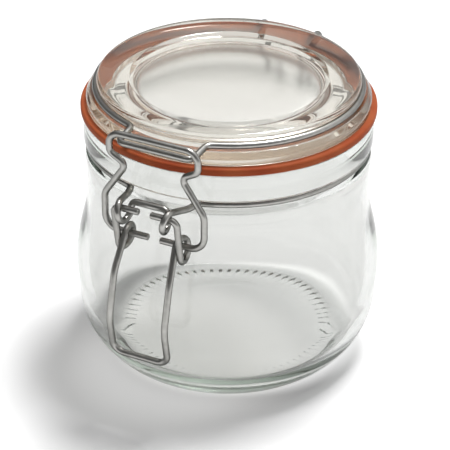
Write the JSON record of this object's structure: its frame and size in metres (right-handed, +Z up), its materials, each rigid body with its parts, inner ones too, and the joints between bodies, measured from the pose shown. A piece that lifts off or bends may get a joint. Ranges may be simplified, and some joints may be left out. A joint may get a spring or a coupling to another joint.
{
  "type": "bail clamp jar",
  "caption": "Low round clear glass preserving jar with a hinged glass lid, a rubber sealing ring and a wire bail clamp with an over-centre lever.",
  "frame": {"origin": "on the jar's vertical axis, in the plane that the jar stands on", "axes": "+Z up, -Y from the axis towards the clamp and its handle, +Y towards the rear hinge, +X to the right when the clamp is seen from in front"},
  "size_m": [0.1094, 0.131, 0.1072],
  "materials": {
    "glass": "polished",
    "rubber": "satin",
    "wire": "satin"
  },
  "bodies": {
    "jar": {"jar_body": "glass", "neck_wire": "wire"},
    "lid": {"lid": "glass", "lid_wire": "wire", "seal_ring": "rubber"},
    "lever": {"lever": "wire"},
    "bail": {"bail": "wire"}
  },
  "joints": [
    {"name": "lid_hinge", "type": "hinge", "parent": "jar", "child": "lid", "pos_m": [0, 0.057, 0.0794], "axis": [-1, 0, 0], "range_deg": [0, 100]},
    {"name": "lever_swing", "type": "hinge", "parent": "jar", "child": "lever", "pos_m": [0, -0.0626, 0.0818], "axis": [-1, 0, 0], "range_deg": [0, 70]},
    {"name": "bail_swing", "type": "hinge", "parent": "lever", "child": "bail", "pos_m": [0, -0.0559, 0.0686], "axis": [1, 0, 0], "range_deg": [0, 140]}
  ],
  "couplings": [
    {"joint": "lever_swing", "follows": "lid_hinge", "ratio": 0.7},
    {"joint": "bail_swing", "follows": "lid_hinge", "ratio": 1.4}
  ]
}
